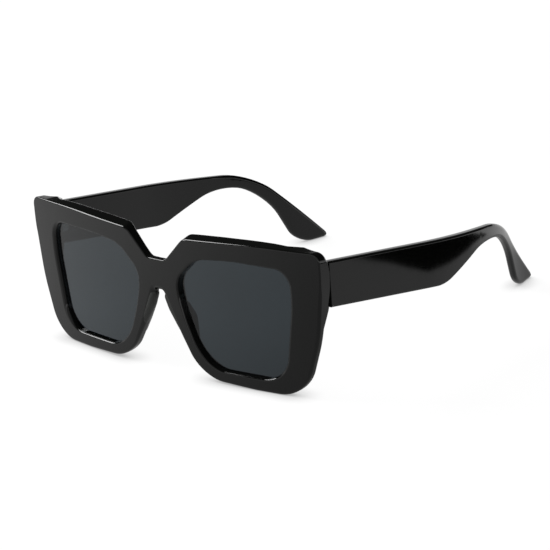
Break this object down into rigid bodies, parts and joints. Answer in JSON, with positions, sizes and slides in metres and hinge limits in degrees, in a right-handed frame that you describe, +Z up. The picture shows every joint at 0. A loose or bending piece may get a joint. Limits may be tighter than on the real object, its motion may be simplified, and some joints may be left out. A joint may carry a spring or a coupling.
{
  "type": "square sunglasses",
  "caption": "Oversized square sunglasses with a thick wrapped front, recessed tinted lenses, bonded nose pads and wide folding temples that taper and drop behind the ear.",
  "frame": {"origin": "under the middle of the whole object, on the surface that the rims and temple tips stand on", "axes": "+Z up, the front faces -Y, the temples run back along +Y, +X is the wearer's left"},
  "size_m": [0.1478, 0.1505, 0.0551],
  "materials": {
    "frame_acetate": "gloss",
    "lens_tint": "gloss",
    "pad_acetate": "satin",
    "hinge_metal": "satin",
    "screw_steel": "satin",
    "core_steel": "satin"
  },
  "bodies": {
    "front": {"front_frame": "frame_acetate", "left_lens": "lens_tint", "right_lens": "lens_tint", "left_nose_pad": "pad_acetate", "right_nose_pad": "pad_acetate", "left_front_hinge": "hinge_metal", "right_front_hinge": "hinge_metal", "left_front_hinge_screws": "screw_steel", "right_front_hinge_screws": "screw_steel", "left_pivot_screw": "screw_steel", "right_pivot_screw": "screw_steel"},
    "left_arm": {"left_temple": "frame_acetate", "left_temple_hinge": "hinge_metal", "left_temple_hinge_screws": "screw_steel", "left_core_wire": "core_steel"},
    "right_arm": {"right_temple": "frame_acetate", "right_temple_hinge": "hinge_metal", "right_temple_hinge_screws": "screw_steel", "right_core_wire": "core_steel"}
  },
  "joints": [
    {"name": "left_fold", "type": "hinge", "parent": "front", "child": "left_arm", "pos_m": [0.0663, -0.0608, 0.0417], "axis": [0, 0, 1], "range_deg": [0, 85.5]},
    {"name": "right_fold", "type": "hinge", "parent": "front", "child": "right_arm", "pos_m": [-0.0663, -0.0608, 0.0417], "axis": [0, 0, -1], "range_deg": [0, 78]}
  ]
}
